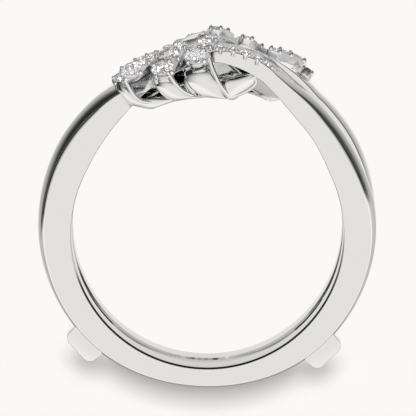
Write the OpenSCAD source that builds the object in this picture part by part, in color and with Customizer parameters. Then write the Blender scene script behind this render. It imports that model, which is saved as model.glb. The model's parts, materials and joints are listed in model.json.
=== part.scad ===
/* [Finger size] */
// Inside diameter of the guard, where the finger goes
finger_d = 17.3; // [16.5:0.1:18.2]

/* [Bands] */
// Overall width of the two bands, measured along the finger
guard_w = 6.0; // [5.9:0.05:6.2]
// Gap between the bands, which takes the engagement ring's shank
shank_gap = 1.7; // [1.6:0.05:1.8]

/* [Joining bars] */
// Angle of each bar from the top of the ring
bar_angle = 134.5; // [125:0.5:150]
// Length of a bar round the band, at its foot
bar_foot = 2.6; // [2.0:0.1:3.0]
// Length of a bar round the band, at its outer face
bar_top = 2.3; // [1.6:0.05:2.4]
// Height of a bar above the finger hole's wall
bar_h = 2.72; // [2.4:0.02:3.0]
// Width of a bar along the finger
bar_w = 4.6; // [3.6:0.1:5.2]

/* [Stones] */
// Girdle of the large stone at the front of each petal
large_d = 1.35; // [1.25:0.05:1.4]
// Girdle of the middle stone of each petal
middle_d = 1.05; // [0.95:0.05:1.1]
// Girdle of the smallest stones
small_d = 0.8; // [0.7:0.05:0.85]
// Clearance between a stone and the metal round it
stone_gap = 0.03; // [0.02:0.01:0.05]

/* [Petals] */
// How much taller the back petals stand, as a share of their height
back_lift = 0.1; // [0:0.01:0.1]

/* [Hidden] */
finger_r = finger_d / 2;
z_side = guard_w / 2;
z_gap = shank_gap / 2;
eps = 0.01;

// One band, by angle from the top of the ring, clockwise in degrees.
// Heights are above the finger hole's wall: the underside, the outer edge at the side face,
// the outer edge at the gap, and the rise of the dome between them. Then the two side planes,
// and how much further out the side face stands at its foot.
BAND = [
    // angle, under, edge, gap edge, dome, z at gap, z at side, foot
    [-180, -0.40, 1.20, 1.20, 0.20, z_gap, z_side, 0.0],
    [-135, -0.40, 1.58, 1.58, 0.20, z_gap, z_side, 0.0],
    [-110, -0.40, 1.75, 1.75, 0.22, z_gap, z_side, 0.0],
    [ -90, -0.40, 1.85, 1.90, 0.27, z_gap, z_side, 0.0],
    [ -70, -0.40, 1.85, 2.02, 0.36, z_gap, z_side, 0.0],
    [ -58,  0.00, 1.83, 2.10, 0.43, z_gap, z_side + 0.05, 0.0],
    [ -47,  0.27, 1.82, 2.15, 0.45, z_gap, z_side + 0.12, 0.0],
    [ -40,  0.47, 1.88, 2.20, 0.42, z_gap, z_side + 0.18, 0.0],
    [ -34,  0.70, 1.90, 2.20, 0.35, z_gap, z_side + 0.10, 0.1],
    [ -29,  0.95, 1.95, 2.35, 0.20, z_gap, z_side - 0.55, 0.5],
    [ -20,  1.40, 2.10, 2.60, 0.10, z_gap + 0.1, z_side - 0.85, 0.7],
    [ -10,  1.90, 2.40, 2.90, 0.05, z_gap + 0.2, z_side - 0.85, 0.6],
    [  -3,  2.10, 2.75, 3.20, 0.02, z_gap + 0.4, z_side - 0.60, 0.3],
    [   1,  2.28, 2.98, 3.40, 0.00, z_gap + 0.5, z_side - 0.05, 0.1],
    [   6,  2.16, 3.04, 3.38, 0.00, z_gap + 0.5, z_side - 0.05, 0.0],
    [  11,  2.00, 2.92, 3.18, 0.00, z_gap + 0.4, z_side - 0.05, 0.0],
    [  15,  1.82, 2.82, 3.00, 0.00, z_gap + 0.3, z_side - 0.02, 0.0],
    [  19,  1.58, 2.60, 2.78, 0.02, z_gap + 0.2, z_side, 0.0],
    [  23,  1.30, 2.30, 2.52, 0.08, z_gap + 0.1, z_side, 0.0],
    [  29,  0.90, 2.02, 2.26, 0.17, z_gap + 0.03, z_side, 0.0],
    [  37,  0.55, 1.82, 2.04, 0.28, z_gap, z_side, 0.0],
    [  48,  0.28, 1.60, 1.90, 0.33, z_gap, z_side, 0.0],
    [  58,  0.00, 1.54, 1.80, 0.35, z_gap, z_side, 0.0],
    [  69, -0.40, 1.61, 1.80, 0.34, z_gap, z_side, 0.0],
    [  80, -0.40, 1.80, 1.88, 0.29, z_gap, z_side, 0.0],
    [  90, -0.40, 1.85, 1.85, 0.25, z_gap, z_side, 0.0],
    [ 110, -0.40, 1.75, 1.75, 0.22, z_gap, z_side, 0.0],
    [ 135, -0.40, 1.58, 1.58, 0.20, z_gap, z_side, 0.0],
    [ 180, -0.40, 1.20, 1.20, 0.20, z_gap, z_side, 0.0]
];
UNDER = 1;
EDGE = 2;
GAP_EDGE = 3;
DOME = 4;
Z_GAP = 5;
Z_SIDE = 6;
FOOT = 7;
HEAD_END = 56;
HEAD_ANGLES = [for (a = [-HEAD_END : 4 : HEAD_END]) a];
SHANK_ANGLES = concat([HEAD_END, 60, 64], [for (a = [72 : 9 : 288]) a], [296, 300, 360 - HEAD_END]);
DOME_STEPS = 4;

// Stones of one band: angle from the top, height of the girdle above the finger hole's wall,
// place along the finger, girdle diameter, and how far the stone leans outwards
STONES = concat(
    [
        // angle, height, z, diameter, lean
        [-26.6, 2.84, 3.00, large_d, 40],
        [-22.6, 3.00, 2.02, middle_d, 30],
        [-19.4, 3.05, 1.22, small_d, 18],
        [-31.4, 2.66, 2.35, small_d, 34],
        [-16.8, 2.24, 2.90, large_d, 42],
        [-13.2, 2.82, 1.95, middle_d, 34],
        [-10.2, 3.26, 1.18, small_d, 20],
        [-5.4, 2.70, 2.90, large_d, 38],
        [-2.6, 3.36, 1.88, middle_d - 0.1, 32],
        [-0.7, 3.62, 1.12, small_d, 15]
    ],
    [for (i = [0 : 4]) [2.3 + 4 * i, 3.22 - 0.024 * i * (i + 1), 2.32, small_d, 13]]
);
ANGLE = 0;
HEIGHT = 1;
ALONG = 2;
DIAMETER = 3;
LEAN = 4;

// Settings bars under the stones of the three petals, as rows of the stones they carry
DECKS = [[0, 1, 2], [4, 5, 6], [7, 8, 9]];
DECK_SIDE = 0.14;

// Stones along the band's front edge, with a notch in the edge at each
EDGE_ROW = [10 : 13];
NOTCH_R = 0.17;
NOTCH_OUT = 0.6;
NOTCH_DEEP = 0.26;

// Walls and hollows of the petals. Each is a leaf between two edges, given as angle, height and place along the finger
LEAVES = [
    // Outer petal, left wall and lower rail
    [[[-33.0, 2.60, 2.60], [-34.0, 1.95, 2.90], [-33.2, 1.10, 3.05], [-29.5, 0.45, 3.10],
      [-25.0, -0.15, 3.10], [-19.0, -0.15, 3.08], [-13.0, -0.15, 2.75]],
     [[-31.0, 2.45, 2.75], [-30.0, 1.85, 3.10], [-28.8, 1.25, 3.22], [-26.2, 0.85, 3.20],
      [-22.0, 0.62, 3.10], [-17.5, 0.42, 3.02], [-13.0, 0.25, 2.75]]],
    // Middle petal, left wall
    [[[-20.6, 1.95, 2.45], [-21.2, 1.38, 2.92], [-19.4, 0.60, 3.10], [-15.4, 0.06, 3.12],
      [-9.0, -0.15, 3.12], [-5.5, -0.15, 3.10], [-1.0, -0.15, 2.80]],
     [[-16.4, 1.98, 2.46], [-15.2, 1.50, 3.05], [-13.6, 1.05, 3.26], [-11.0, 0.55, 3.26],
      [-8.5, 0.30, 3.20], [-5.2, 0.20, 3.12], [-1.0, 0.15, 2.80]]],
    // Inner petal, left wall
    [[[-9.8, 2.10, 2.30], [-9.9, 1.50, 2.85], [-8.4, 0.72, 3.06], [-4.5, 0.20, 3.10],
      [0.0, -0.15, 3.12], [5.0, -0.15, 3.12], [9.0, -0.15, 2.85]],
     [[-2.4, 2.30, 2.35], [-0.9, 1.80, 2.98], [0.8, 1.25, 3.22], [2.6, 0.88, 3.28],
      [4.8, 0.42, 3.24], [7.0, 0.14, 3.16], [9.0, 0.10, 2.85]]],
    // Inner petal, right wall under the strand's opening
    [[[7.6, -0.15, 3.12], [10.2, 0.12, 3.00], [13.2, 0.80, 2.90], [15.6, 1.42, 2.80],
      [15.3, 1.75, 2.70]],
     [[6.4, 0.20, 3.18], [4.9, 0.85, 3.18], [5.6, 1.22, 3.08], [8.2, 1.50, 2.90],
      [12.5, 1.92, 2.66]]],
    // Middle petal, right wall in the shade
    [[[-4.9, -0.15, 3.10], [-3.5, 0.40, 2.80], [-4.0, 1.10, 2.60], [-5.0, 1.80, 2.40]],
     [[-7.4, 0.10, 3.14], [-9.4, 0.60, 3.05], [-10.2, 1.15, 2.85], [-9.0, 1.80, 2.50]]],
    // Hollow's floor behind the opening of the outer petal
    [[[-31.0, 0.75, 2.90], [-26.5, 0.40, 2.95], [-21.0, 0.12, 2.95], [-14.0, 0.05, 2.95]],
     [[-31.0, 1.35, 1.80], [-26.0, 1.20, 1.50], [-20.0, 1.15, 1.50], [-14.0, 1.35, 1.60]]],
    // The same behind the middle petal
    [[[-14.5, 0.30, 2.95], [-11.0, 0.10, 2.98], [-7.5, 0.05, 2.98], [-3.5, 0.05, 2.90]],
     [[-14.5, 1.75, 1.60], [-11.0, 1.95, 1.30], [-7.5, 2.10, 1.30], [-3.5, 2.20, 1.30]]],
    // The same behind the inner petal
    [[[0.5, 0.90, 2.85], [4.0, 0.70, 2.80], [8.0, 1.05, 2.70], [13.5, 1.70, 2.60]],
     [[0.5, 2.30, 1.40], [4.0, 2.32, 1.20], [8.0, 2.20, 1.30], [13.5, 1.98, 1.60]]]
];
LEAF_T = 0.52;
LEAF_STEPS = 7;
LEAF_ACROSS = 3;
LEAF_BULGE = 0.16;

// Ridges that run down the front of each petal and hold the large stone
RIDGES = [
    [[-29.6, 2.45, 3.45], [-29.3, 1.42, 3.42], [-27.8, 0.80, 3.32], [-24.0, 0.38, 3.15]],
    [[-15.4, 1.98, 3.42], [-13.6, 1.20, 3.40], [-11.0, 0.55, 3.32], [-7.2, 0.05, 3.16]],
    [[-1.2, 2.78, 3.30], [0.2, 1.85, 3.42], [3.2, 0.92, 3.40], [7.6, -0.05, 3.16]],
    [[15.0, 1.78, 2.78], [15.9, 1.35, 2.84], [13.2, 0.72, 2.94], [8.0, -0.08, 3.12]],
    [[-8.2, 1.75, 2.30], [-9.2, 1.30, 2.60], [-10.0, 0.75, 2.90], [-8.4, 0.15, 3.10]]
];
RIDGE_W = 0.13;
RIDGE_STEPS = 6;

$lift = 0;

function ease(v, from, to) =
    let (t = min(max((v - from) / (to - from), 0), 1)) t * t * (3 - 2 * t);

// Heights are stretched by this, over the petals' angles alone
function lift_at(angle) = 1 + $lift * ease(angle, -40, -32) * ease(angle, 14, 3);

// Point at an angle from the top of the ring, a height above the finger hole's wall, and z
function at(angle, height, z) =
    let (r = finger_r + height * lift_at(angle)) [r * sin(angle), r * cos(angle), z];

function unit(v) = v / norm(v);
function mix(a, b, t) = a + (b - a) * t;

// Row of a table that an angle falls after
function row_of(table, a, i = 0) =
    i >= len(table) - 2 || table[i + 1][0] > a ? i : row_of(table, a, i + 1);

function slope(table, column, i) =
    (table[i + 1][column] - table[i][column]) / (table[i + 1][0] - table[i][0]);

// Slope at a row, level where the column turns, so that the curve never overshoots
function tangent(table, column, i) =
    i == 0 || i == len(table) - 1 ? 0
    : slope(table, column, i - 1) * slope(table, column, i) <= 0 ? 0
    : 2 * slope(table, column, i - 1) * slope(table, column, i)
      / (slope(table, column, i - 1) + slope(table, column, i));

// A column of a table, read smoothly between its rows
function smooth(table, column, a) =
    let (i = row_of(table, a), w = table[i + 1][0] - table[i][0], t = (a - table[i][0]) / w)
    table[i][column] * (2 * t * t * t - 3 * t * t + 1)
    + table[i + 1][column] * (3 * t * t - 2 * t * t * t)
    + tangent(table, column, i) * w * (t * t * t - 2 * t * t + t)
    + tangent(table, column, i + 1) * w * (t * t * t - t * t);

// A smooth curve through a few points, with t from 0 to 1
function along(points, t) =
    let (n = len(points) - 1, i = min(floor(t * n), n - 1), u = t * n - i,
         a = points[max(i - 1, 0)], b = points[i], c = points[i + 1], d = points[min(i + 2, n)])
    b + u * ((c - a) / 2 + u * ((2 * a - 5 * b + 4 * c - d) / 2 + u * (3 * b - a - 3 * c + d) / 2));

// A closed solid through rings of points, each ring clockwise seen from the next one
module lofted(rings) {
    n = len(rings[0]);
    m = len(rings);
    function id(k, i) = k * n + (i % n);
    sides = [
        for (k = [0 : m - 2]) for (i = [0 : n - 1])
        for (f = [[id(k, i), id(k, i + 1), id(k + 1, i + 1)], [id(k, i), id(k + 1, i + 1), id(k + 1, i)]]) f
    ];
    ends = [[for (i = [n - 1 : -1 : 0]) i], [for (i = [0 : n - 1]) (m - 1) * n + i]];
    polyhedron([for (r = rings) for (p = r) p], concat(sides, ends));
}

function band_ring(a) =
    let (under = smooth(BAND, UNDER, a), edge = smooth(BAND, EDGE, a),
         gap_edge = smooth(BAND, GAP_EDGE, a), dome = smooth(BAND, DOME, a),
         z_in = smooth(BAND, Z_GAP, a), z_out = smooth(BAND, Z_SIDE, a))
    concat(
        [at(a, under, z_in), at(a, under, z_out + smooth(BAND, FOOT, a))],
        [for (s = [0 : 1 / DOME_STEPS : 1 + eps])
            at(a, mix(edge, gap_edge, s) + dome * 4 * s * (1 - s), mix(z_out, z_in, s))]
    );

// The part of one band between a list of angles
module band(angles) {
    lofted([for (a = angles) band_ring(a > 180 ? a - 360 : a)]);
}

module joining_bar(angle) {
    rotate([0, 0, -angle])
    translate([0, finger_r, -bar_w / 2])
    linear_extrude(bar_w)
    polygon([[-bar_foot / 2, 0.5], [bar_foot / 2, 0.5], [bar_foot / 2, bar_h - 1.1],
             [bar_top / 2, bar_h - 0.25], [bar_top / 2 - 0.22, bar_h],
             [0.22 - bar_top / 2, bar_h], [-bar_top / 2, bar_h - 0.25],
             [-bar_foot / 2, bar_h - 1.1]]);
}

// One leaf-shaped wall between two edges, bulging towards the front and LEAF_T deep
function leaf_point(edges, u, v) =
    let (p = mix(along(edges[0], u), along(edges[1], u), v))
    at(p[0], p[1], p[2] + LEAF_BULGE * 4 * v * (1 - v));
function leaf_ring(edges, u) =
    let (outer = [for (j = [0 : LEAF_ACROSS]) leaf_point(edges, u, j / LEAF_ACROSS)])
    concat(outer, [for (j = [LEAF_ACROSS : -1 : 0]) outer[j] - [0, 0, LEAF_T]]);

module leaf(edges) {
    lofted([for (k = [0 : LEAF_STEPS]) leaf_ring(edges, k / LEAF_STEPS)]);
}

// A six-sided bar along a curve
module ridge(points, w) {
    lofted([for (k = [0 : RIDGE_STEPS])
        let (t = k / RIDGE_STEPS, p = along(points, t), c = at(p[0], p[1], p[2]),
             q = along(points, min(t + 0.04, 1)), r = along(points, max(t - 0.04, 0)),
             dir = unit(at(q[0], q[1], q[2]) - at(r[0], r[1], r[2])),
             side = unit(cross(dir, [0, 0, 1])), up = cross(side, dir))
        [for (i = [0 : 5]) c + w * (side * cos(60 * i) + up * sin(60 * i) * 1.3)]]);
}

// Moves its children to a stone's place, with +Z along the stone's axis
module on_stone(s) {
    rotate([0, 0, -s[ANGLE]])
    translate([0, finger_r + s[HEIGHT] * lift_at(s[ANGLE]), s[ALONG]])
    rotate([s[LEAN] - 90, 0, 0])
    children();
}

// Round brilliant of girdle diameter d with its girdle at z = 0, grown all round by g
module brilliant(d, g = 0) {
    r = d / 2 + g;
    function rim(k, z) = [r * cos(22.5 * k), r * sin(22.5 * k), z];
    table = [for (k = [0 : 7]) [0.56 * r * cos(45 * k), 0.56 * r * sin(45 * k), 0.17 * d + g]];
    girdle = [for (k = [0 : 15]) rim(k, 0.02 * d)];
    under = [for (k = [0 : 15]) rim(k, -0.02 * d)];
    polyhedron(concat(table, girdle, under, [[0, 0, -0.44 * d - g]]), concat(
        [[for (k = [7 : -1 : 0]) k]],
        [for (k = [0 : 7]) let (j = (k + 1) % 8, a = 8 + 2 * k, b = 9 + 2 * k, c = 8 + 2 * j)
            for (f = [[a, k, b], [b, k, j], [b, j, c]]) f],
        [for (k = [0 : 15]) let (j = (k + 1) % 16)
            for (f = [[8 + k, 8 + j, 24 + j], [8 + k, 24 + j, 24 + k], [24 + k, 24 + j, 40]]) f]
    ));
}

// Where a stone stands, and the direction that it faces
function stone_place(s) = at(s[ANGLE], s[HEIGHT], s[ALONG]);
function stone_axis(s) = [cos(s[LEAN]) * sin(s[ANGLE]), cos(s[LEAN]) * cos(s[ANGLE]), sin(s[LEAN])];

// Bar of metal that carries a row of stones, wide under each and rounded at both ends
module deck(rows) {
    first = STONES[rows[0]];
    last = STONES[rows[2]];
    run = unit(stone_place(last) - stone_place(first));
    nose = first[DIAMETER] / 2 + DECK_SIDE;
    tail = last[DIAMETER] / 2 + DECK_SIDE;
    lofted(concat(
        [for (q = [0.97, 0.75, 0.4]) deck_ring(first, -run * nose * q, run, sqrt(1 - q * q) * nose)],
        [for (k = [0 : 6]) let (i = k < 3 ? 0 : 1, s = mix(STONES[rows[i]], STONES[rows[i + 1]], k / 3 - i))
            deck_ring(s, [0, 0, 0], run, s[DIAMETER] / 2 + DECK_SIDE)],
        [for (q = [0.5, 0.9]) deck_ring(last, run * tail * q, run, sqrt(1 - q * q) * tail)]
    ));
}
function deck_ring(s, shift, run, half) =
    let (p = stone_place(s) + shift, axis = stone_axis(s), up = unit(axis - run * (axis * run)),
         side = unit(cross(run, up)), t = 0.5)
    [p + side * half - up * 0.04, p + side * half * 0.8 + up * 0.06, p - side * half * 0.8 + up * 0.06,
     p - side * half - up * 0.04, p - side * half * 0.9 - up * t * 0.5, p - side * half * 0.4 - up * t,
     p + side * half * 0.4 - up * t, p + side * half * 0.9 - up * t * 0.5];

module half_head() {
    band(HEAD_ANGLES);
    for (d = DECKS) deck(d);
    for (l = LEAVES) leaf(l);
    for (r = RIDGES) ridge(r, RIDGE_W);
    on_stone(STONES[3]) translate([0, 0, -0.6]) cylinder(r = small_d / 2 + DECK_SIDE, h = 0.66, $fn = 12);
}

// Eight-sided pocket that a stone of girdle diameter d drops into
module seat(d) {
    r = (d / 2 + stone_gap) / cos(22.5);
    lofted([for (q = [[0.12 * r, -0.45 * d - stone_gap], [r, -0.02 * d - stone_gap], [r, 1]])
        [for (k = [0 : 7]) [q[0] * cos(45 * k), -q[0] * sin(45 * k), q[1]]]]);
}

// The stones' pockets, with a notch in front of each stone of the row on the band's edge
module stone_seats() {
    for (s = STONES) on_stone(s) seat(s[DIAMETER]);
    for (i = EDGE_ROW) on_stone(STONES[i])
        translate([0, -NOTCH_OUT, -NOTCH_DEEP]) cylinder(r = NOTCH_R, h = 1, $fn = 8);
}

// The same half again on the other side of the gap, turned about the line up through the head
module both_halves() {
    children();
    rotate([0, 180, 0]) let ($lift = back_lift) children();
}

// The head of both bands in one body, with its petals, settings and stone seats
module head() {
    resize([0, 0, 0]) difference() {
        both_halves() half_head();
        both_halves() stone_seats();
        cylinder(r = finger_r + eps, h = 2 * guard_w, center = true, $fn = 180);
    }
}

// The lower part of both bands with the bars that join them
module shank() {
    difference() {
        union() {
            both_halves() band(SHANK_ANGLES);
            joining_bar(bar_angle);
            joining_bar(-bar_angle);
        }
        cylinder(r = finger_r, h = 2 * guard_w, center = true);
    }
}

module guard_metal() {
    color("gainsboro") union() {
        head();
        shank();
    }
}

module stone(s) {
    color("white") on_stone(s) brilliant(s[DIAMETER]);
}

guard_metal();
for (i = [0 : len(STONES) - 1]) {
    stone(STONES[i]);
    rotate([0, 180, 0]) let ($lift = back_lift) stone(STONES[i]);
}
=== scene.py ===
import json
import math
from collections import namedtuple

import bpy
from mathutils import Matrix, Vector


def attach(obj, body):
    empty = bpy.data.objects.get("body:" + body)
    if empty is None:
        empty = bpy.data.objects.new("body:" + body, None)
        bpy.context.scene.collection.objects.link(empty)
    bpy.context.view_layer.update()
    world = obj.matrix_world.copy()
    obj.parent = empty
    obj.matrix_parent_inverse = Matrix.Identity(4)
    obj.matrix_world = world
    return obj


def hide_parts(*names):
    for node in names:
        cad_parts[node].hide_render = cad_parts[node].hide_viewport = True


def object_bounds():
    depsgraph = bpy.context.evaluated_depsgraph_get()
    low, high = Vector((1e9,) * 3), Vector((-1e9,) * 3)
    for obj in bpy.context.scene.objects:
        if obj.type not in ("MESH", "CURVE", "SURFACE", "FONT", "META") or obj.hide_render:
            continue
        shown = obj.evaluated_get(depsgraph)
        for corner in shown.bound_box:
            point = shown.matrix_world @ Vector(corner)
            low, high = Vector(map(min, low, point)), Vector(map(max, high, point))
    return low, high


mm = 0.001
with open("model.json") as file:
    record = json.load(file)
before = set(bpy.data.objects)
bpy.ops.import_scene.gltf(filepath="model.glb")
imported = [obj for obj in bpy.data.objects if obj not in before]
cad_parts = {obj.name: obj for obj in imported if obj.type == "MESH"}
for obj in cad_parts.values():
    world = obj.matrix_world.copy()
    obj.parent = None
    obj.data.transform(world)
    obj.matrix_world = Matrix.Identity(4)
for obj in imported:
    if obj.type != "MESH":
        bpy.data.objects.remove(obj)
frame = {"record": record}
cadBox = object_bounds()
fingerRadius = frame["record"]["mounts"][0]["dims"]["r_mm"]  # in millimetres, as every piece's sizes are
print("frame loaded, finger radius", fingerRadius)


# Small helpers for the modelling

def deselectAll():
    if bpy.context.mode != "OBJECT":
        bpy.ops.object.mode_set(mode="OBJECT")
    bpy.ops.object.select_all(action="DESELECT")


def activate(piece):
    deselectAll()
    piece.select_set(True)
    bpy.context.view_layer.objects.active = piece


def added(name):
    piece = bpy.context.object
    piece.name = name
    piece.data.name = name
    return piece


def placeInMesh(piece):
    activate(piece)
    bpy.ops.object.transform_apply(location=True, rotation=True, scale=True)


def applyModifier(piece, kind, **settings):
    activate(piece)
    modifier = piece.modifiers.new(kind.lower(), kind)
    for key, value in settings.items():
        setattr(modifier, key, value)
    bpy.ops.object.modifier_apply(modifier=modifier.name)


def bevelSharp(piece, width, segments, sharperThan):
    applyModifier(piece, "BEVEL", width=width, segments=segments, limit_method="ANGLE",
                  angle_limit=math.radians(sharperThan))


def closeUp(piece, distance=0.002 * mm):
    # merges doubles and turns every face outwards
    activate(piece)
    bpy.ops.object.mode_set(mode="EDIT")
    bpy.ops.mesh.select_all(action="SELECT")
    bpy.ops.mesh.remove_doubles(threshold=distance)
    bpy.ops.mesh.normals_make_consistent(inside=False)
    bpy.ops.object.mode_set(mode="OBJECT")


def smoothShade(piece, degrees):
    activate(piece)
    bpy.ops.object.shade_smooth_by_angle(angle=math.radians(degrees))


def joined(pieces, name):
    deselectAll()
    for piece in pieces:
        piece.select_set(True)
    bpy.context.view_layer.objects.active = pieces[0]
    if len(pieces) > 1:
        bpy.ops.object.join()
    return added(name)


def cutAway(piece, cutters):
    cutter = joined(cutters, "cutter")
    applyModifier(piece, "BOOLEAN", operation="DIFFERENCE", solver="EXACT", use_self=True, object=cutter)
    bpy.data.objects.remove(cutter)


def copied(piece, name):
    twin = piece.copy()
    twin.data = piece.data.copy()
    twin.name = name
    twin.data.name = name
    bpy.context.collection.objects.link(twin)
    return twin


def moveEach(piece, rule):
    for vertex in piece.data.vertices:
        vertex.co = rule(vertex.co)
    piece.data.update()


def mix(a, b, t):
    return a + (b - a) * t


def easeIn(value, start, end):
    t = min(max((value - start) / (end - start), 0), 1)
    return t * t * (3 - 2 * t)


def alongCurve(points, t):
    # a smooth curve through a few points, with t from 0 to 1
    last = len(points) - 1
    index = min(int(t * last), last - 1)
    u = t * last - index
    a, b, c, d = (Vector(points[min(max(index + k, 0), last)]) for k in (-1, 0, 1, 2))
    return b + u * ((c - a) / 2 + u * ((2 * a - 5 * b + 4 * c - d) / 2 + u * (3 * b - a - 3 * c + d) / 2))


# Tables by angle: a row's first column is its angle, and the others run smoothly from row to row

def slopeAt(rows, column, index):
    return (rows[index + 1][column] - rows[index][column]) / (rows[index + 1][0] - rows[index][0])


def tangentAt(rows, column, index):
    # level where the column turns, so that the curve never overshoots
    if index == 0 or index == len(rows) - 1:
        return 0
    before, after = slopeAt(rows, column, index - 1), slopeAt(rows, column, index)
    return 0 if before * after <= 0 else 2 * before * after / (before + after)


def smoothRow(rows, angle):
    index = 0
    while index < len(rows) - 2 and rows[index + 1][0] <= angle:
        index += 1
    width = rows[index + 1][0] - rows[index][0]
    t = (angle - rows[index][0]) / width
    result = []
    for column in range(1, len(rows[0])):
        result.append(
            rows[index][column] * (2 * t ** 3 - 3 * t ** 2 + 1)
            + rows[index + 1][column] * (3 * t ** 2 - 2 * t ** 3)
            + tangentAt(rows, column, index) * width * (t ** 3 - 2 * t ** 2 + t)
            + tangentAt(rows, column, index + 1) * width * (t ** 3 - t ** 2))
    return result


# Places round the finger: degrees from the top, height above the finger hole's wall, and z

def polar(angle, height, z):
    turn = math.radians(angle)
    radius = fingerRadius + height
    return Vector((radius * math.sin(turn), radius * math.cos(turn), z)) * mm


def angleOf(point):
    return math.degrees(math.atan2(point.x, point.y))


# The back band: the front one turned about the line up through the head, with petals a little taller

halfTurn = Matrix.Rotation(math.pi, 4, "Y")
backLift = {"share": 0.1, "from": -40, "full": -32, "fade": 3, "to": 14}


def liftAt(angle):
    rising = easeIn(angle, backLift["from"], backLift["full"])
    falling = easeIn(angle, backLift["to"], backLift["fade"])
    return 1 + backLift["share"] * rising * falling


def liftPoint(point):
    angle = angleOf(point)
    height = math.hypot(point.x, point.y) / mm - fingerRadius
    return polar(angle, height * liftAt(angle), point.z / mm)


def backTwin(piece, name):
    twin = copied(piece, name)
    moveEach(twin, liftPoint)
    twin.data.transform(halfTurn)
    return twin


# Materials

def nodeMaker(tree):
    # gives a function that adds a node to the tree and feeds its inputs, by their numbers or names
    def newNode(kind, inputs=None, **settings):
        node = tree.nodes.new(kind)
        for key, value in settings.items():
            setattr(node, key, value)
        for key, value in (inputs or {}).items():
            if hasattr(value, "is_linked"):
                tree.links.new(value, node.inputs[key])
            else:
                node.inputs[key].default_value = value
        return node

    return newNode


def nodeGroup(name, inputs, outputs):
    group = bpy.data.node_groups.new(name, "ShaderNodeTree")
    for label, kind, value in inputs:
        group.interface.new_socket(name=label, in_out="INPUT", socket_type=kind).default_value = value
    for label, kind in outputs:
        group.interface.new_socket(name=label, in_out="OUTPUT", socket_type=kind)
    return group, group.nodes.new("NodeGroupInput"), group.nodes.new("NodeGroupOutput")


polish = {
    "cloudScale": 900, "cloudDetail": 4,
    "scratchScale": 2600, "scratchDetail": 2, "scratchStretch": (0.15, 0.15, 1), "scratchDepth": 0.02 * mm,
}


def makePolishMarks():
    # faint buffing cloud and hair-fine scratches, shared by the metals
    group, given, result = nodeGroup(
        "polishMarks",
        [("Roughness", "NodeSocketFloat", 0.06), ("Spread", "NodeSocketFloat", 0.05),
         ("Relief", "NodeSocketFloat", 0.02)],
        [("Roughness", "NodeSocketFloat"), ("Normal", "NodeSocketVector")])
    newNode = nodeMaker(group)
    place = newNode("ShaderNodeTexCoord").outputs["Object"]
    cloud = newNode("ShaderNodeTexNoise", {
        "Vector": place, "Scale": polish["cloudScale"], "Detail": polish["cloudDetail"]})
    amount = newNode("ShaderNodeMath", {
        0: cloud.outputs["Fac"], 1: given.outputs["Spread"], 2: given.outputs["Roughness"]},
        operation="MULTIPLY_ADD")
    stretched = newNode("ShaderNodeMapping", {"Vector": place, "Scale": polish["scratchStretch"]})
    scratch = newNode("ShaderNodeTexNoise", {
        "Vector": stretched.outputs["Vector"],
        "Scale": polish["scratchScale"], "Detail": polish["scratchDetail"]})
    bump = newNode("ShaderNodeBump", {
        "Strength": given.outputs["Relief"], "Distance": polish["scratchDepth"],
        "Height": scratch.outputs["Fac"]})
    group.links.new(amount.outputs["Value"], result.inputs["Roughness"])
    group.links.new(bump.outputs["Normal"], result.inputs["Normal"])
    return group


polishMarks = makePolishMarks()


def newMaterial(name, color, **sockets):
    # a socket's name is written with underscores for its spaces
    material = bpy.data.materials.new(name)
    material.use_nodes = True
    shader = material.node_tree.nodes["Principled BSDF"]
    shader.inputs["Base Color"].default_value = (*color, 1)
    for label, value in sockets.items():
        shader.inputs[label.replace("_", " ")].default_value = value
    return material, shader


def makeMetal(name, color, roughness, spread, relief):
    material, shader = newMaterial(name, color, Metallic=1.0)
    marks = nodeMaker(material.node_tree)("ShaderNodeGroup", {
        "Roughness": roughness, "Spread": spread, "Relief": relief}, node_tree=polishMarks)
    for output in ("Roughness", "Normal"):
        material.node_tree.links.new(marks.outputs[output], shader.inputs[output])
    return material


gemTint = {
    "scale": 700, "cool": (0.93, 0.93, 1.0, 1), "coolTo": 0.4, "warm": (1.0, 0.97, 0.95, 1), "warmFrom": 0.6,
}


def makeGemGlass():
    # the stones glow faintly on their own through the emission strength, a painted light
    material, shader = newMaterial(
        "gemGlass", (1.0, 1.0, 1.0), Transmission_Weight=1.0, IOR=2.0, Roughness=0.0, Emission_Strength=0.05)
    # a trace of lavender and rose from stone to stone
    newNode = nodeMaker(material.node_tree)
    place = newNode("ShaderNodeTexCoord").outputs["Object"]
    cloud = newNode("ShaderNodeTexNoise", {"Vector": place, "Scale": gemTint["scale"]})
    tint = newNode("ShaderNodeValToRGB", {"Fac": cloud.outputs["Fac"]})
    cool, warm = tint.color_ramp.elements
    cool.color, cool.position = gemTint["cool"], gemTint["coolTo"]
    warm.color, warm.position = gemTint["warm"], gemTint["warmFrom"]
    material.node_tree.links.new(tint.outputs["Color"], shader.inputs["Base Color"])
    return material


bandPolish = {"color": (0.86, 0.86, 0.865), "roughness": 0.035, "spread": 0.05, "relief": 0.05}
clawPolish = dict(bandPolish, color=(0.94, 0.94, 0.945), roughness=0.25)
bandMetal = makeMetal("polishedBand", **bandPolish)
clawMetal = makeMetal("polishedClaws", **clawPolish)
gemGlass = makeGemGlass()
print("materials ready")


def dress(piece, material, slot, *nodes):
    piece.data.materials.clear()
    piece.data.materials.append(material)
    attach(piece, "root")
    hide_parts(*nodes)


def dressMetal(piece, material):
    dress(piece, material, "polished_metal", "guard_metal")


def finishPair(piece, backName, material):
    # a front piece, and its twin on the back band
    twin = backTwin(piece, backName)
    dressMetal(piece, material)
    dressMetal(twin, material)


def backNameOf(name):
    return "back" + name[0].upper() + name[1:]


# Stones: height is the girdle's, and lean tips the stone from straight outwards to the front

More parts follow.
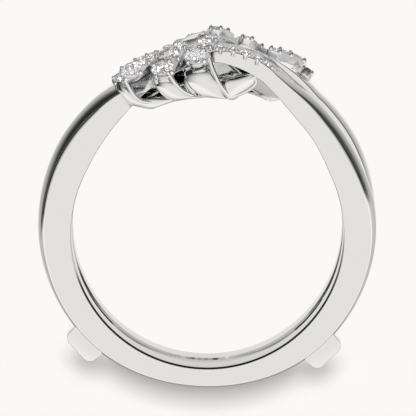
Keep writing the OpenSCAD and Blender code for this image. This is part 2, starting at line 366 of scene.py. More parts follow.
stones = {
    "large": 1.35, "middle": 1.05, "narrow": 0.95, "small": 0.8,
    "gap": 0.03, "turnEach": 17,  # degrees from one stone's facets to the next one's
}
large, middle, narrow, small = (stones[size] for size in ("large", "middle", "narrow", "small"))
edgeStones = {"count": 5, "first": 2.3, "step": 4, "height": 3.22, "fall": 0.024, "z": 2.32, "lean": 13}

Stone = namedtuple("Stone", "angle height z diameter lean")
petalRows = [
    [Stone(-26.6, 2.84, 3.00, large, 40),
     Stone(-22.6, 3.00, 2.02, middle, 30),
     Stone(-19.4, 3.05, 1.22, small, 18)],
    [Stone(-16.8, 2.24, 2.90, large, 42),
     Stone(-13.2, 2.82, 1.95, middle, 34),
     Stone(-10.2, 3.26, 1.18, small, 20)],
    [Stone(-5.4, 2.70, 2.90, large, 38),
     Stone(-2.6, 3.36, 1.88, narrow, 32),
     Stone(-0.7, 3.62, 1.12, small, 15)],
]
cupStone = Stone(-31.4, 2.66, 2.35, small, 34)
edgeRow = [
    Stone(edgeStones["first"] + edgeStones["step"] * k,
          edgeStones["height"] - edgeStones["fall"] * k * (k + 1),
          edgeStones["z"], small, edgeStones["lean"])
    for k in range(edgeStones["count"])]
# in the order of the frame's nodes
allStones = [*petalRows[0], cupStone, *petalRows[1], *petalRows[2], *edgeRow]


def stoneAxis(stone):
    angle, lean = math.radians(stone.angle), math.radians(stone.lean)
    return Vector((math.cos(lean) * math.sin(angle), math.cos(lean) * math.cos(angle), math.sin(lean)))


def stonePlace(stone):
    return polar(stone.angle, stone.height, stone.z)


def stoneMatrix(stone):
    # +Z along the stone's axis, +X round the ring, -Y towards the front
    turn = Matrix.Rotation(math.radians(-stone.angle), 4, "Z")
    lean = Matrix.Rotation(math.radians(stone.lean - 90), 4, "X")
    return Matrix.Translation(stonePlace(stone)) @ turn @ lean


def putAtStone(blank, stone):
    # the blank was made in millimetres round the origin
    blank.data.transform(Matrix.Scale(mm, 4))
    blank.data.transform(stoneMatrix(stone))


# The cut stone, one girdle diameter across: a blank is cut facet by facet

brilliant = {
    "blankSides": 32, "blankHeight": 1.2, "radius": 0.5, "table": 0.28, "halfGirdle": 0.015, "merge": 0.0005,
    "crownAngle": 34, "starAngle": 21, "upperAngle": 39.5, "pavilionAngle": 40.8, "lowerAngle": 42.3,
}


def cutFacet(azimuth, slope, radius, height, upwards=True):
    turn, tilt = math.radians(azimuth), math.radians(slope)
    way = 1 if upwards else -1
    normal = Vector((math.sin(tilt) * math.cos(turn), math.sin(tilt) * math.sin(turn), way * math.cos(tilt)))
    point = Vector((radius * math.cos(turn), radius * math.sin(turn), way * height))
    bpy.ops.mesh.select_all(action="SELECT")
    bpy.ops.mesh.bisect(plane_co=point, plane_no=normal, use_fill=True, clear_outer=True)


def makeBrilliant():
    cut = brilliant
    rim = cut["radius"], cut["halfGirdle"]
    bpy.ops.mesh.primitive_cylinder_add(
        vertices=cut["blankSides"], radius=cut["radius"], depth=cut["blankHeight"])
    gem = added("cutStone")
    placeInMesh(gem)
    crownSlope = math.tan(math.radians(cut["crownAngle"]))
    tableHeight = cut["halfGirdle"] + (cut["radius"] - cut["table"]) * crownSlope
    bpy.ops.object.mode_set(mode="EDIT")
    cutFacet(0, 0, 0, tableHeight)
    for turn in range(0, 360, 45):
        cutFacet(turn, cut["crownAngle"], *rim)
        cutFacet(turn, cut["pavilionAngle"], *rim, upwards=False)
    for turn in range(0, 360, 45):
        cutFacet(turn + 22.5, cut["starAngle"], cut["table"] * math.cos(math.pi / 8), tableHeight)
        for side in (-11.25, 11.25):
            cutFacet(turn + side, cut["upperAngle"], *rim)
            cutFacet(turn + side, cut["lowerAngle"], *rim, upwards=False)
    bpy.ops.object.mode_set(mode="OBJECT")
    closeUp(gem, cut["merge"])
    return gem


def setStones():
    cut = makeBrilliant()
    for index, stone in enumerate(allStones):
        lifted = stone._replace(height=stone.height * liftAt(stone.angle))
        for side, place in (("front", stoneMatrix(stone)), ("back", stoneMatrix(lifted))):
            gem = copied(cut, f"{side}Stone{index + 1}")
            gem.data.transform(Matrix.Rotation(math.radians(stones["turnEach"] * index), 4, "Z"))
            gem.data.transform(Matrix.Scale(stone.diameter * mm, 4))
            gem.data.transform(place)
            if side == "back":
                gem.data.transform(halfTurn)
            activate(gem)
            bpy.ops.object.shade_flat()
            dress(gem, gemGlass, "stone", f"{side}_stone_{index + 1}")
    bpy.data.objects.remove(cut)
    print("stones set:", 2 * len(allStones))


setStones()


# Pockets that the stones drop into, cut from whatever carries them

seat = {
    "sides": 24, "point": 0.1, "deep": 0.42,  # point and deep are shares of the stone's diameter
    "below": 0.02, "above": 0.9,
}


def makeSeat(stone):
    wide = stone.diameter + 2 * stones["gap"]
    deep = seat["deep"] * stone.diameter
    bpy.ops.mesh.primitive_cone_add(
        vertices=seat["sides"], radius1=seat["point"] * wide, radius2=wide / 2, depth=deep,
        location=(0, 0, -deep / 2 - seat["below"]))
    pocket = added("seat")
    placeInMesh(pocket)
    bpy.ops.object.mode_set(mode="EDIT")
    bpy.ops.mesh.select_all(action="DESELECT")
    bpy.ops.object.mode_set(mode="OBJECT")
    for face in pocket.data.polygons:
        face.select = face.normal.z > 0.9
    bpy.ops.object.mode_set(mode="EDIT")
    bpy.ops.mesh.extrude_region_move(TRANSFORM_OT_translate={"value": (0, 0, seat["above"])})
    bpy.ops.object.mode_set(mode="OBJECT")
    putAtStone(pocket, stone)
    return pocket


roundCut = {"sides": 20, "height": 1.5}


def makeRoundCut(name, stone, radius, towardsGap, deep):
    # an upright cylinder that cuts a round slot beside the stone, open at the top
    bpy.ops.mesh.primitive_cylinder_add(
        vertices=roundCut["sides"], radius=radius, depth=roundCut["height"],
        location=(0, towardsGap, roundCut["height"] / 2 - deep))
    cut = added(name)
    placeInMesh(cut)
    putAtStone(cut, stone)
    return cut


# Bands: a section spun round the finger, then drawn to its height and width at each angle

band = {
    "spinSteps": 300, "domeCuts": 9, "sideZ": 3.0, "gapZ": 0.85, "easeIn": 0.25, "smooth": 35,
    # rounded outer edges, with their share of the width: by angle at the front, and one share at the gap
    "round": 0.5, "roundSegments": 5, "roundOver": 38, "facesOut": 0.5, "facesFront": 0.7, "gapRound": 0.26,
    "frontRound": [(-180, 0.3), (-120, 0.4), (-90, 0.8), (-60, 0.8), (-40, 0.5), (-30, 0.26), (24, 0.26),
                   (40, 0.7), (70, 1.0), (90, 0.5), (110, 0.3), (180, 0.3)],
    # a flat chamfer on the edges that are sharp after that, with its share by angle on either side
    "chamfer": 0.12, "chamferOver": 60,
    "chamferEdges": [(0, 0.2), (75, 0.25), (110, 1.0), (180, 1.0)],
}
bandRows = [
    # angle, under, edge, gap edge, dome, z at the gap, z at the side, how much further out its foot stands
    (-180, -0.40, 1.20, 1.20, 0.20, 0.0, 0.0, 0.0),
    (-135, -0.40, 1.58, 1.58, 0.20, 0.0, 0.0, 0.0),
    (-110, -0.40, 1.75, 1.75, 0.22, 0.0, 0.0, 0.0),
    (-90, -0.40, 1.85, 1.90, 0.27, 0.0, 0.0, 0.0),
    (-70, -0.40, 1.85, 2.02, 0.36, 0.0, 0.0, 0.0),
    (-58, 0.00, 1.83, 2.10, 0.43, 0.0, 0.05, 0.0),
    (-47, 0.27, 1.82, 2.15, 0.45, 0.0, 0.12, 0.0),
    (-40, 0.47, 1.88, 2.20, 0.42, 0.0, 0.18, 0.0),
    (-34, 0.70, 1.90, 2.20, 0.35, 0.0, 0.10, 0.1),
    (-29, 0.95, 1.95, 2.35, 0.20, 0.0, -0.55, 0.5),
    (-20, 1.40, 2.10, 2.60, 0.10, 0.1, -0.85, 0.7),
    (-10, 1.90, 2.40, 2.90, 0.05, 0.2, -0.85, 0.6),
    (-3, 2.10, 2.75, 3.20, 0.02, 0.4, -0.60, 0.3),
    (1, 2.28, 2.98, 3.40, 0.00, 0.5, -0.05, 0.1),
    (6, 2.16, 3.04, 3.38, 0.00, 0.5, -0.05, 0.0),
    (11, 2.00, 2.92, 3.18, 0.00, 0.4, -0.05, 0.0),
    (15, 1.82, 2.82, 3.00, 0.00, 0.3, -0.02, 0.0),
    (19, 1.58, 2.60, 2.78, 0.02, 0.2, 0.0, 0.0),
    (23, 1.30, 2.30, 2.52, 0.08, 0.1, 0.0, 0.0),
    (29, 0.90, 2.02, 2.26, 0.17, 0.03, 0.0, 0.0),
    (37, 0.55, 1.82, 2.04, 0.28, 0.0, 0.0, 0.0),
    (48, 0.28, 1.60, 1.90, 0.33, 0.0, 0.0, 0.0),
    (58, 0.00, 1.54, 1.80, 0.35, 0.0, 0.0, 0.0),
    (69, -0.40, 1.61, 1.80, 0.34, 0.0, 0.0, 0.0),
    (80, -0.40, 1.80, 1.88, 0.29, 0.0, 0.0, 0.0),
    (90, -0.40, 1.85, 1.85, 0.25, 0.0, 0.0, 0.0),
    (110, -0.40, 1.75, 1.75, 0.22, 0.0, 0.0, 0.0),
    (135, -0.40, 1.58, 1.58, 0.20, 0.0, 0.0, 0.0),
    (180, -0.40, 1.20, 1.20, 0.20, 0.0, 0.0, 0.0),
]


def bandPoint(spun):
    # spun: x, y as turned round the finger at radius 1 to 2, and z across from 0, the side, to 1, the gap
    angle = angleOf(spun)
    upTo = math.hypot(spun.x, spun.y) - 1
    under, edge, gapEdge, dome, gapShift, sideShift, slant = smoothRow(bandRows, angle)
    # eases into the finger hole's wall instead of meeting it at a corner
    if under <= band["easeIn"]:
        under = max(under + band["easeIn"], 0) ** 2 / (4 * band["easeIn"])
    across = spun.z
    top = mix(edge, gapEdge, across) + dome * 4 * across * (1 - across)
    side = band["sideZ"] + sideShift + slant * (1 - upTo)
    return polar(angle, mix(under, top, upTo), mix(side, band["gapZ"] + gapShift, across))


def weighEdges(piece, sharperThan, share):
    # gives each sharp edge its share of the next bevel's width
    mesh = piece.data
    if "bevel_weight_edge" in mesh.attributes:
        mesh.attributes.remove(mesh.attributes["bevel_weight_edge"])
    weights = mesh.attributes.new("bevel_weight_edge", "FLOAT", "EDGE")
    normals = {}
    for face in mesh.polygons:
        for key in face.edge_keys:
            normals.setdefault(key, []).append(face.normal)
    for edge in mesh.edges:
        pair = normals[edge.key]
        if len(pair) == 2 and pair[0].angle(pair[1]) > math.radians(sharperThan):
            halfway = (mesh.vertices[edge.key[0]].co + mesh.vertices[edge.key[1]].co) / 2
            weights.data[edge.index].value = share(halfway, pair)


def roundShare(place, normals):
    outwards = Vector((place.x, place.y, 0)).normalized()
    if max(normal.dot(outwards) for normal in normals) <= band["facesOut"]:
        return 0
    if max(normal.z for normal in normals) <= band["facesFront"]:
        return band["gapRound"]
    return smoothRow(band["frontRound"], angleOf(place))[0]


def chamferShare(place, normals):
    return smoothRow(band["chamferEdges"], abs(angleOf(place)))[0]


def makeBand(name):
    # one square from radius 1 to 2, whose outer side is cut finer for the dome
    bpy.ops.mesh.primitive_plane_add(size=1, location=(0, 1.5, 0.5), rotation=(0, math.pi / 2, 0))
    piece = added(name)
    placeInMesh(piece)
    bpy.ops.object.mode_set(mode="EDIT")
    bpy.ops.mesh.select_mode(type="EDGE")
    bpy.ops.object.mode_set(mode="OBJECT")
    for item in (*piece.data.vertices, *piece.data.edges, *piece.data.polygons):
        item.select = False
    for edge in piece.data.edges:
        a, b = (piece.data.vertices[k].co for k in edge.vertices)
        edge.select = min(a.y, b.y) > 1.9
    bpy.ops.object.mode_set(mode="EDIT")
    bpy.ops.mesh.subdivide(number_cuts=band["domeCuts"])
    bpy.ops.mesh.select_all(action="SELECT")
    bpy.ops.mesh.delete(type="ONLY_FACE")
    bpy.ops.mesh.select_all(action="SELECT")
    bpy.ops.mesh.spin(
        steps=band["spinSteps"], angle=2 * math.pi, center=(0, 0, 0), axis=(0, 0, 1), use_auto_merge=False)
    bpy.ops.mesh.select_all(action="SELECT")
    bpy.ops.mesh.remove_doubles(threshold=0.0001)
    bpy.ops.object.mode_set(mode="OBJECT")
    moveEach(piece, bandPoint)
    closeUp(piece)
    weighEdges(piece, band["roundOver"], roundShare)
    applyModifier(
        piece, "BEVEL", width=band["round"] * mm, segments=band["roundSegments"], limit_method="WEIGHT")
    weighEdges(piece, band["chamferOver"], chamferShare)
    applyModifier(piece, "BEVEL", width=band["chamfer"] * mm, segments=1, limit_method="WEIGHT")
    return piece


notch = {"radius": 0.17, "outwards": 0.6, "deep": 0.26}


def makeNotch(stone):
    # round-bottomed slot in the band's front edge at a stone
    return makeRoundCut("notch", stone, notch["radius"], -notch["outwards"], notch["deep"])


frontBand = makeBand("frontBand")
cutAway(frontBand, [makeSeat(stone) for stone in edgeRow])
cutAway(frontBand, [makeNotch(stone) for stone in edgeRow[:-1]])
smoothShade(frontBand, band["smooth"])
finishPair(frontBand, "backBand", bandMetal)
print("bands made")


# Joining bars across the gap

bar = {
    "angle": 134.5, "foot": 2.6, "top": 2.3, "height": 2.72, "sunk": 1.2, "width": 4.6, "topWidth": 0.94,
    "round": 0.45, "roundSegments": 8, "edge": 0.05, "edgeSegments": 4, "edgeOver": 40, "smooth": 40,
}


def makeBar(angle, name):
    halfway = fingerRadius + (bar["height"] + bar["sunk"]) / 2
    bpy.ops.mesh.primitive_cube_add(size=1, location=(0, halfway, 0))
    piece = added(name)
    piece.scale = (bar["foot"], bar["height"] - bar["sunk"], bar["width"])
    placeInMesh(piece)
    for vertex in piece.data.vertices:
        if vertex.co.y > halfway:
            vertex.co.x *= bar["top"] / bar["foot"]
            vertex.co.z *= bar["topWidth"]
    # the two top edges that run across the gap are rounded more than the rest
    weights = piece.data.attributes.new("bevel_weight_edge", "FLOAT", "EDGE")
    for edge in piece.data.edges:
        a, b = (piece.data.vertices[k].co for k in edge.vertices)
        if abs(a.z - b.z) > bar["width"] / 2 and min(a.y, b.y) > halfway:
            weights.data[edge.index].value = 1
    applyModifier(piece, "BEVEL", width=bar["round"], segments=bar["roundSegments"], limit_method="WEIGHT")
    bevelSharp(piece, bar["edge"], bar["edgeSegments"], bar["edgeOver"])
    piece.data.transform(Matrix.Rotation(math.radians(-angle), 4, "Z"))
    piece.data.transform(Matrix.Scale(mm, 4))
    smoothShade(piece, bar["smooth"])
    return piece


dressMetal(makeBar(bar["angle"], "rightBar"), bandMetal)
dressMetal(makeBar(-bar["angle"], "leftBar"), bandMetal)
print("bars made")


# Decks: the rounded bars of metal that carry each petal's row of stones, narrower towards the foot

edgeRounding = {"width": 0.1 * mm, "segments": 3, "sharperThan": 50}  # for decks, end cups and petals
deck = {
    "side": 0.13, "cuts": 11, "deep": 0.5, "below": 0.05, "smooth": 35,
    "narrower": 0.3, "narrowPower": 1.5, "tip": 0.02,
}


def makeDeck(row, name):
    first, last = row[0], row[-1]
    run = (stonePlace(last) - stonePlace(first)).normalized()
    length = (stonePlace(last) - stonePlace(first)).length
    nose = (first.diameter / 2 + deck["side"]) * mm
    tail = (last.diameter / 2 + deck["side"]) * mm

    def deckPoint(blank):
        # blank: x along the row from 0 to 1, y across from -1 to 1, z down from 0 to -1
        along = blank.x * (length + nose + tail) - nose
        inRow = min(max(along / length, 0), 1)
        index = 0 if inRow < 0.5 else 1
        here = Stone(*(mix(a, b, inRow * 2 - index) for a, b in zip(row[index], row[index + 1])))
        over = along - inRow * length
        reach = nose if over < 0 else tail
        half = (here.diameter / 2 + deck["side"]) * mm * math.sqrt(max(1 - (over / reach) ** 2, deck["tip"]))
        axis = stoneAxis(here)
        up = (axis - run * axis.dot(run)).normalized()
        side = run.cross(up)
        narrowed = 1 - deck["narrower"] * (-blank.z) ** deck["narrowPower"]
        return stonePlace(here) + run * over * narrowed + side * half * blank.y * narrowed + up * (
            deck["deep"] * mm * blank.z - deck["below"] * mm)

    bpy.ops.mesh.primitive_cube_add(size=1, location=(0.5, 0, -0.5))
    piece = added(name)
    piece.scale = (1, 2, 1)
    placeInMesh(piece)
    bpy.ops.object.mode_set(mode="EDIT")
    bpy.ops.mesh.select_all(action="SELECT")
    bpy.ops.mesh.subdivide(number_cuts=deck["cuts"])
    bpy.ops.object.mode_set(mode="OBJECT")
    moveEach(piece, deckPoint)
    closeUp(piece)
    bevelSharp(piece, **edgeRounding)
    return piece


cup = {"sides": 32, "height": 0.66, "middle": -0.27}


def makeEndCup(stone, name):
    # the collet of the stone at the petal's far end
    bpy.ops.mesh.primitive_cylinder_add(
        vertices=cup["sides"], radius=stone.diameter / 2 + deck["side"], depth=cup["height"],
        location=(0, 0, cup["middle"]))
    piece = added(name)
    placeInMesh(piece)
    putAtStone(piece, stone)
    bevelSharp(piece, **edgeRounding)
    return piece


scallop = {"radius": 0.3, "outwards": 0.56, "deep": 0.2}  # as shares of the stone's diameter


def makeScallop(stone):
    # round cut in a setting's flank towards the gap, where the stone shows from the side
    radius, outwards, deep = (scallop[key] * stone.diameter for key in ("radius", "outwards", "deep"))
    return makeRoundCut("scallop", stone, radius, outwards, deep)


decks = []
for index, row in enumerate(petalRows):
    piece = makeDeck(row, f"frontDeck{index + 1}")
    cutAway(piece, [makeSeat(stone) for stone in row])
    cutAway(piece, [makeScallop(stone) for stone in row])
    decks.append(piece)
endCup = makeEndCup(cupStone, "frontDeck4")
cutAway(endCup, [makeSeat(cupStone)])
decks.append(endCup)
for index, piece in enumerate(decks):
    smoothShade(piece, deck["smooth"])
    finishPair(piece, f"backDeck{index + 1}", clawMetal)
print("decks made")


# Petals: leaf-shaped walls between two edges, whose points are given as angle, height and z

leaf = {"along": 28, "across": 10, "length": 0.98, "lowest": 0.02, "deep": 0.34, "bulge": 0.16, "smooth": 50}
leaves = {
    "outerPetal": (
        [(-33.0, 2.60, 2.60), (-34.0, 1.95, 2.90), (-33.2, 1.10, 3.05), (-29.5, 0.45, 3.10),
         (-25.0, 0.02, 3.10), (-19.0, 0.00, 3.08), (-13.0, 0.00, 2.75)],
        [(-31.0, 2.45, 2.75), (-30.0, 1.85, 3.10), (-28.8, 1.25, 3.22), (-26.2, 0.85, 3.20),
         (-22.0, 0.62, 3.10), (-17.5, 0.42, 3.02), (-13.0, 0.25, 2.75)]),
    "middlePetal": (
        [(-20.6, 1.95, 2.45), (-21.2, 1.38, 2.92), (-19.4, 0.60, 3.10), (-15.4, 0.06, 3.12),
         (-9.0, 0.00, 3.12), (-5.5, 0.00, 3.10), (-1.0, 0.00, 2.80)],
        [(-16.4, 1.98, 2.46), (-15.2, 1.50, 3.05), (-13.6, 1.05, 3.26), (-11.0, 0.55, 3.26),
         (-8.5, 0.30, 3.20), (-5.2, 0.20, 3.12), (-1.0, 0.15, 2.80)]),
    "innerPetal": (
        [(-9.8, 2.10, 2.30), (-9.9, 1.50, 2.85), (-8.4, 0.72, 3.06), (-4.5, 0.20, 3.10),
         (0.0, 0.00, 3.12), (5.0, 0.00, 3.12), (9.0, 0.02, 2.85)],
        [(-2.4, 2.30, 2.35), (-0.9, 1.80, 2.98), (0.8, 1.25, 3.22), (2.6, 0.88, 3.28),
         (4.8, 0.42, 3.24), (7.0, 0.14, 3.16), (9.0, 0.10, 2.85)]),
    "innerPetalRight": (
        [(7.6, 0.00, 3.12), (10.2, 0.12, 3.00), (13.2, 0.80, 2.90), (15.6, 1.42, 2.80),
         (15.3, 1.75, 2.70)],
        [(6.4, 0.20, 3.18), (4.9, 0.85, 3.18), (5.6, 1.22, 3.08), (8.2, 1.50, 2.90),
         (12.5, 1.92, 2.66)]),
    "middlePetalRight": (
        [(-4.9, 0.00, 3.10), (-3.5, 0.40, 2.80), (-4.0, 1.10, 2.60), (-5.0, 1.80, 2.40)],
        [(-7.4, 0.10, 3.14), (-9.4, 0.60, 3.05), (-10.2, 1.15, 2.85), (-9.0, 1.80, 2.50)]),
    # hollows' floors, rising towards the gap behind the openings
    "outerHollow": (
        [(-31.0, 0.75, 2.90), (-26.5, 0.40, 2.95), (-21.0, 0.12, 2.95), (-14.0, 0.05, 2.95)],
        [(-31.0, 1.35, 1.80), (-26.0, 1.20, 1.50), (-20.0, 1.15, 1.50), (-14.0, 1.35, 1.60)]),
    "middleHollow": (
        [(-14.5, 0.30, 2.95), (-11.0, 0.10, 2.98), (-7.5, 0.05, 2.98), (-3.5, 0.05, 2.90)],
        [(-14.5, 1.75, 1.60), (-11.0, 1.95, 1.30), (-7.5, 2.10, 1.30), (-3.5, 2.20, 1.30)]),
    "innerHollow": (
        [(0.5, 0.90, 2.85), (4.0, 0.70, 2.80), (8.0, 1.05, 2.70), (13.5, 1.70, 2.60)],
        [(0.5, 2.30, 1.40), (4.0, 2.32, 1.20), (8.0, 2.20, 1.30), (13.5, 1.98, 1.60)]),
}


def makeLeaf(edges, name):
    def leafPoint(flat):
        # flat: x along from 0 to 1, y across from 0 to 1
        first, second = (alongCurve(edge, flat.x * leaf["length"]) for edge in edges)
        place = mix(first, second, flat.y)
        bulge = leaf["bulge"] * 4 * flat.y * (1 - flat.y)
        return polar(place.x, max(place.y, leaf["lowest"]), place.z + bulge)

    bpy.ops.mesh.primitive_grid_add(
        x_subdivisions=leaf["along"], y_subdivisions=leaf["across"], size=1, location=(0.5, 0.5, 0))
    piece = added(name)
    placeInMesh(piece)
    moveEach(piece, leafPoint)
    bpy.ops.object.mode_set(mode="EDIT")
    bpy.ops.mesh.select_all(action="SELECT")
    bpy.ops.mesh.extrude_region_move(TRANSFORM_OT_translate={"value": (0, 0, -leaf["deep"] * mm)})
    bpy.ops.object.mode_set(mode="OBJECT")
    closeUp(piece)
    bevelSharp(piece, **edgeRounding)
    smoothShade(piece, leaf["smooth"])
    return piece


for name, edges in leaves.items():
    finishPair(makeLeaf(edges, name), backNameOf(name), bandMetal)
print("petals made")


# Ridges that run down the front of each petal, thinner towards the foot

ridge = {"radius": 0.15, "foot": 0.75, "points": 16, "resolution": 3, "smooth": 60}
ridges = {
    "outerRidge": [(-29.6, 2.45, 3.35), (-29.3, 1.42, 3.36), (-27.8, 0.80, 3.30), (-24.0, 0.38, 3.15)],
    "middleRidge": [(-15.4, 1.98, 3.30), (-13.6, 1.20, 3.34), (-11.0, 0.58, 3.30), (-7.2, 0.18, 3.16)],
    "innerRidge": [(-1.2, 2.60, 3.22), (0.2, 1.85, 3.34), (3.2, 0.92, 3.34), (7.6, 0.14, 3.14)],
    "innerRimRight": [(15.0, 1.78, 2.74), (15.9, 1.35, 2.80), (13.2, 0.72, 2.90), (8.0, 0.14, 3.08)],
    "middleRimRight": [(-8.2, 1.75, 2.30), (-9.2, 1.30, 2.60), (-10.0, 0.75, 2.90), (-8.4, 0.20, 3.10)],
}


def makeRidge(points, name):
    curve = bpy.data.curves.new(name, "CURVE")
    curve.dimensions = "3D"
    curve.bevel_depth = ridge["radius"] * mm
    curve.bevel_resolution = ridge["resolution"]
    curve.use_fill_caps = True
    line = curve.splines.new("POLY")
    line.points.add(ridge["points"])
    for k, point in enumerate(line.points):
        t = k / ridge["points"]
        point.co = (*polar(*alongCurve(points, t)), 1)
        point.radius = mix(1, ridge["foot"], t)
    piece = bpy.data.objects.new(name, curve)
    bpy.context.collection.objects.link(piece)
    activate(piece)
    bpy.ops.object.convert(target="MESH")
    piece = added(name)
    closeUp(piece)
    smoothShade(piece, ridge["smooth"])
    return piece


for name, points in ridges.items():
    finishPair(makeRidge(points, name), backNameOf(name), bandMetal)
print("ridges made")


# Claws: round-topped posts at four corners of each stone, and a slimmer pair in front of those on the edge

claw = {
    "radius": 0.12, "perStone": 0.04, "slimmer": 0.03, "outset": 0.03, "low": -0.3, "high": 0.16,
    "corners": (45, 135, 225, 315), "edgeCorners": (240, 300), "sides": 12, "rings": 8, "smooth": 80,
}


def makeClaws(name):
    bpy.ops.mesh.primitive_uv_sphere_add(segments=claw["sides"], ring_count=claw["rings"], radius=1)
    blank = added("clawBlank")
    placeInMesh(blank)
    low, high = claw["low"], claw["high"]
    claws = []
    for stone in allStones:
        onEdge = stone in edgeRow
        radius = claw["radius"] + claw["perStone"] * stone.diameter - (claw["slimmer"] if onEdge else 0)
        out = stone.diameter / 2 + claw["outset"]
        for corner in claw["edgeCorners" if onEdge else "corners"]:
            turn = math.radians(corner)
            one = copied(blank, "claw")
            one.data.transform(Matrix.Diagonal((radius, radius, (high - low) / 2, 1)))
            place = (out * math.cos(turn), out * math.sin(turn), (high + low) / 2)
            one.data.transform(Matrix.Translation(place))
            putAtStone(one, stone)
            claws.append(one)
    bpy.data.objects.remove(blank)
    piece = joined(claws, name)
    smoothShade(piece, claw["smooth"])
    return piece


finishPair(makeClaws("frontClaws"), "backClaws", clawMetal)
print("claws made")


# Floor, light and camera

studio = {
    "floorSize": 0.8, "paper": (0.956, 0.947, 0.913), "paperShare": 0.9, "mirrorTint": (1, 0.99, 0.96),
    # the shadow under the ring's foot, by y, and how much it dims the paper and its mirror image
    "shadowFrom": -8.0 * mm, "shadowTo": -10.0 * mm, "shadowShare": 0.85, "shadowMirror": 0.5,
    # the studio is dark towards the photo's top, and its floor only further out than the two flanks
    "darkSide": (-0.17, 0.985, 0), "darkFrom": -0.05, "darkTo": 0.12,
    "flanks": ((-8.5 * mm, -12 * mm), (3 * mm, 9 * mm)),
    "keyPower": 1.38, "keySize": 0.11, "keyPlace": (0, 0.11, 0.40), "room": (0.3, 0.3, 0.3, 1),
    "cameraDistance": 450 * mm, "cameraTilt": 7.8, "cameraRoll": 1.75, "sensor": 36, "pixelsPerMm": 15.64,
    "ringCentre": (207.4, 226.7), "imageSize": 416,
}
# brightness along the floor, out from the ring's middle to its reach
floorMirror = {
    "reach": 40 * mm,
    "light": [(0.0, 0.45), (0.20, 0.6), (0.26, 1.0), (0.30, 1.0), (0.35, 0.55), (0.6, 0.65)],
    "dark": [(0.0, 0.45), (0.20, 0.6), (0.26, 1.0), (0.30, 1.0), (0.36, 0.6), (0.46, 0.4), (0.57, 0.14),
             (0.72, 0.03)],
}
# brightness of the room, from level to overhead
roomMirror = {
    "light": [(0.0, 0.6), (0.3, 0.7), (0.5, 0.95), (0.8, 1.05), (0.95, 0.88), (1.0, 0.88)],
    "dark": [(0.0, 0.4), (0.08, 0.02), (0.42, 0.02), (0.6, 0.3), (0.75, 0.65), (0.9, 0.86), (1.0, 0.88)],
}


def ramp(newNode, value, stops):
    node = newNode("ShaderNodeValToRGB", {"Fac": value})
    elements = node.color_ramp.elements
    while len(elements) > 1:
        elements.remove(elements[-1])
    for index, (position, level) in enumerate(stops):
        element = elements[0] if index == 0 else elements.new(position)
        element.position = position
        element.color = (*(level * share for share in studio["mirrorTint"]), 1)
    return node.outputs["Color"]


def darkShare(newNode, direction):
    # 1 towards the studio's dark side and 0 away from it
    level = newNode("ShaderNodeVectorMath", {0: direction, 1: (1, 1, 0)}, operation="MULTIPLY")
    flat = newNode("ShaderNodeVectorMath", {0: level.outputs["Vector"]}, operation="NORMALIZE")
    facing = newNode("ShaderNodeVectorMath", {
        0: flat.outputs["Vector"], 1: studio["darkSide"]}, operation="DOT_PRODUCT")
    share = newNode("ShaderNodeMapRange", {
        "Value": facing.outputs["Value"], "From Min": studio["darkFrom"], "From Max": studio["darkTo"]},
        interpolation_type="SMOOTHSTEP")
    return share.outputs["Result"]


def twoSides(newNode, darkness, value, mirror):
    both = newNode("ShaderNodeMix", {
        0: darkness, 6: ramp(newNode, value, mirror["light"]), 7: ramp(newNode, value, mirror["dark"])},
        data_type="RGBA")
    return both.outputs[2]


def makeFloor():
    bpy.ops.mesh.primitive_grid_add(x_subdivisions=8, y_subdivisions=8, size=studio["floorSize"],
                                    location=(0, 0, cadBox[0].z))
    floor = added("floor")
    placeInMesh(floor)
    material, paper = newMaterial(
        "palePaper", [studio["paperShare"] * c / studio["paper"][0] for c in studio["paper"]],
        Roughness=1.0, Specular_IOR_Level=0.0)
    newNode = nodeMaker(material.node_tree)
    place = newNode("ShaderNodeTexCoord").outputs["Object"]
    axes = newNode("ShaderNodeSeparateXYZ", {"Vector": place})
    # the camera sees paper that glows evenly, except in the soft shadow under the ring's foot
    shadow = newNode("ShaderNodeMapRange", {
        "Value": axes.outputs["Y"], "From Min": studio["shadowFrom"], "From Max": studio["shadowTo"]},
        interpolation_type="SMOOTHSTEP").outputs["Result"]
    shaded = newNode("ShaderNodeMath", {0: shadow, 1: studio["shadowShare"]}, operation="MULTIPLY")
    glow = newNode("ShaderNodeEmission", {"Color": (*studio["paper"], 1)})
    seen = newNode("ShaderNodeMixShader", {
        0: shaded.outputs["Value"], 1: glow.outputs["Emission"], 2: paper.outputs["BSDF"]})
    # the polished metal mirrors a floor that is bright beside the ring and dark beyond it on one side
    distance = newNode("ShaderNodeVectorMath", {0: place}, operation="LENGTH")
    reach = newNode("ShaderNodeMapRange", {
        "Value": distance.outputs["Value"], "From Max": floorMirror["reach"]})
    left, right = (newNode("ShaderNodeMapRange", {
        "Value": axes.outputs["X"], "From Min": start, "From Max": end}) for start, end in studio["flanks"])
    flank = newNode("ShaderNodeMath", {0: left.outputs["Result"], 1: right.outputs["Result"]},
                    operation="MAXIMUM")
    dark = newNode("ShaderNodeMath", {0: darkShare(newNode, place), 1: flank.outputs["Value"]},
                   operation="MULTIPLY")
    mirrored = twoSides(newNode, dark.outputs["Value"], reach.outputs["Result"], floorMirror)
    strength = newNode("ShaderNodeMapRange", {"Value": shadow, "To Min": 1, "To Max": studio["shadowMirror"]})
    mirrorGlow = newNode("ShaderNodeEmission", {"Color": mirrored, "Strength": strength.outputs["Result"]})
    rays = newNode("ShaderNodeLightPath")
    both = newNode("ShaderNodeMixShader", {
        0: rays.outputs["Is Camera Ray"], 1: mirrorGlow.outputs["Emission"], 2: seen.outputs["Shader"]})
    material.node_tree.links.new(
        both.outputs["Shader"], material.node_tree.nodes["Material Output"].inputs["Surface"])
    floor.data.materials.append(material)


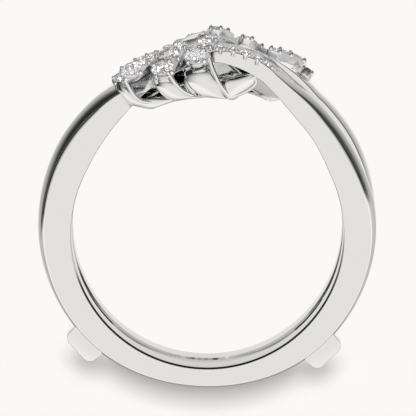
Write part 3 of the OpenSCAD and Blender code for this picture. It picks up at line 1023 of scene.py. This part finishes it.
def makeWorld():
    world = bpy.data.worlds.new("studio")
    bpy.context.scene.world = world
    world.use_nodes = True
    newNode = nodeMaker(world.node_tree)
    direction = newNode("ShaderNodeTexCoord").outputs["Generated"]
    axes = newNode("ShaderNodeSeparateXYZ", {"Vector": direction})
    mirrored = twoSides(newNode, darkShare(newNode, direction), axes.outputs["Z"], roomMirror)
    rays = newNode("ShaderNodeLightPath")
    room = newNode("ShaderNodeMix", {
        0: rays.outputs["Is Diffuse Ray"], 6: mirrored, 7: studio["room"]}, data_type="RGBA")
    backdrop = newNode("ShaderNodeMix", {
        0: rays.outputs["Is Camera Ray"], 6: room.outputs[2], 7: (*studio["paper"], 1)}, data_type="RGBA")
    world.node_tree.links.new(backdrop.outputs[2], world.node_tree.nodes["Background"].inputs["Color"])


def makeLights():
    bpy.ops.object.light_add(type="AREA", location=studio["keyPlace"])
    key = bpy.context.object
    key.name = "softbox"
    key.data.size = studio["keySize"]
    key.data.energy = studio["keyPower"]
    key.visible_glossy = False
    key.rotation_euler = (-key.location).to_track_quat("-Z", "Y").to_euler()


def makeCamera():
    tilt, roll = math.radians(studio["cameraTilt"]), math.radians(studio["cameraRoll"])
    right = Vector((math.cos(roll), math.sin(roll), 0))
    up = Vector((-math.sin(roll) * math.cos(tilt), math.cos(roll) * math.cos(tilt), -math.sin(tilt)))
    back = right.cross(up)
    distance = studio["cameraDistance"]
    perPixel = mm / studio["pixelsPerMm"]
    middlePixel = studio["imageSize"] / 2
    column, line = studio["ringCentre"]
    aim = (right * (middlePixel - column) + up * (line - middlePixel)) * perPixel
    bpy.ops.object.camera_add()
    camera = bpy.context.object
    turn = Matrix((right, up, back)).transposed().to_4x4()
    camera.matrix_world = Matrix.Translation(aim + back * distance) @ turn
    camera.data.sensor_width = studio["sensor"]
    camera.data.lens = studio["sensor"] * distance / (studio["imageSize"] * perPixel)
    camera.data.clip_end = 10
    bpy.context.scene.camera = camera


makeFloor()
makeWorld()
makeLights()
makeCamera()
bpy.context.scene.view_settings.view_transform = "Standard"
print("studio ready")
